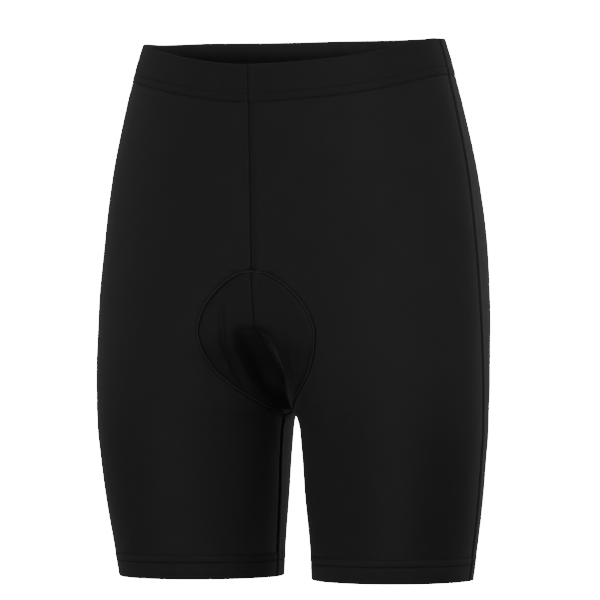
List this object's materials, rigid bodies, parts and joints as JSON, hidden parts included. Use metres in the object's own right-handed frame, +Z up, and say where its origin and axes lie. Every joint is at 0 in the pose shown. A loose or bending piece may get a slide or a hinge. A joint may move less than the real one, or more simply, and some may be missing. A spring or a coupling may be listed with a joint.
{
  "type": "padded base layer shorts",
  "caption": "Close-fitting knitted base layer shorts with an elastic waistband, turned leg hems and a pad sewn into the crotch, filled out as worn.",
  "frame": {"origin": "middle of the waist, half way up the waistband at the side seams, where the wearer holds the garment", "axes": "+Z up the wearer's body out of the waist opening, +X to the wearer's left, -Y to the front"},
  "size_m": [0.3454, 0.2183, 0.461],
  "materials": {
    "stretch_knit": "fine stretch knit with a soft sheen",
    "elastic_casing": "doubled knit over elastic",
    "turned_hem": "doubled knit, two rows of cover stitch",
    "pad_foam": "brushed knit face over foam"
  },
  "bodies": {
    "root": {"front_left": "stretch_knit", "front_right": "stretch_knit", "back_left": "stretch_knit", "back_right": "stretch_knit", "waistband": "elastic_casing", "hem_left": "turned_hem", "hem_right": "turned_hem", "pad": "pad_foam"}
  },
  "joints": []
}
